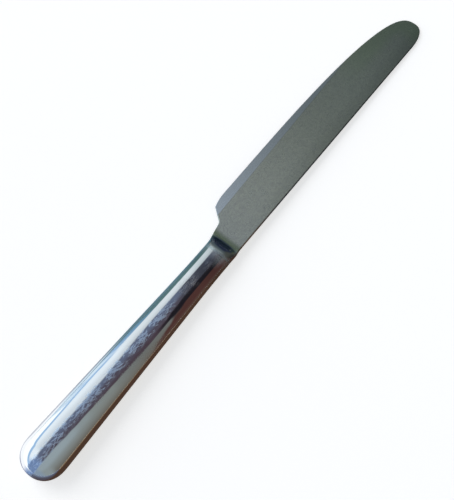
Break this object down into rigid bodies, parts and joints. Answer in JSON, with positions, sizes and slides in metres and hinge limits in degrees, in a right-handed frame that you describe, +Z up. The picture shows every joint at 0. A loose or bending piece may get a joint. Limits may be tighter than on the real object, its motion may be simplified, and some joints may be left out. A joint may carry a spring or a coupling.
{
  "type": "table knife",
  "caption": "Table knife with a hollow polished steel handle, a bolster, and a straight-backed satin blade with a notch at the heel and a round point, lying on its side.",
  "frame": {"origin": "on the table plane, under the centre of the knife's bounding box", "axes": "+X from the handle's end to the point, +Y towards the cutting edge, +Z up out of the table; the handle's belly and the point both touch z = 0"},
  "size_m": [0.236, 0.0228, 0.0126],
  "materials": {
    "blade_steel": "satin ground stainless steel, the bolster polished",
    "handle_steel": "mirror-polished stainless steel with fine scratches from use",
    "braze": "silver braze, ground flush and polished",
    "filling": "dull grey cement"
  },
  "bodies": {
    "root": {"blade": "blade_steel", "upper_handle_shell": "handle_steel", "lower_handle_shell": "handle_steel", "handle_seam_braze": "braze", "bolster_braze_ring": "braze", "handle_filling": "filling"}
  },
  "joints": []
}
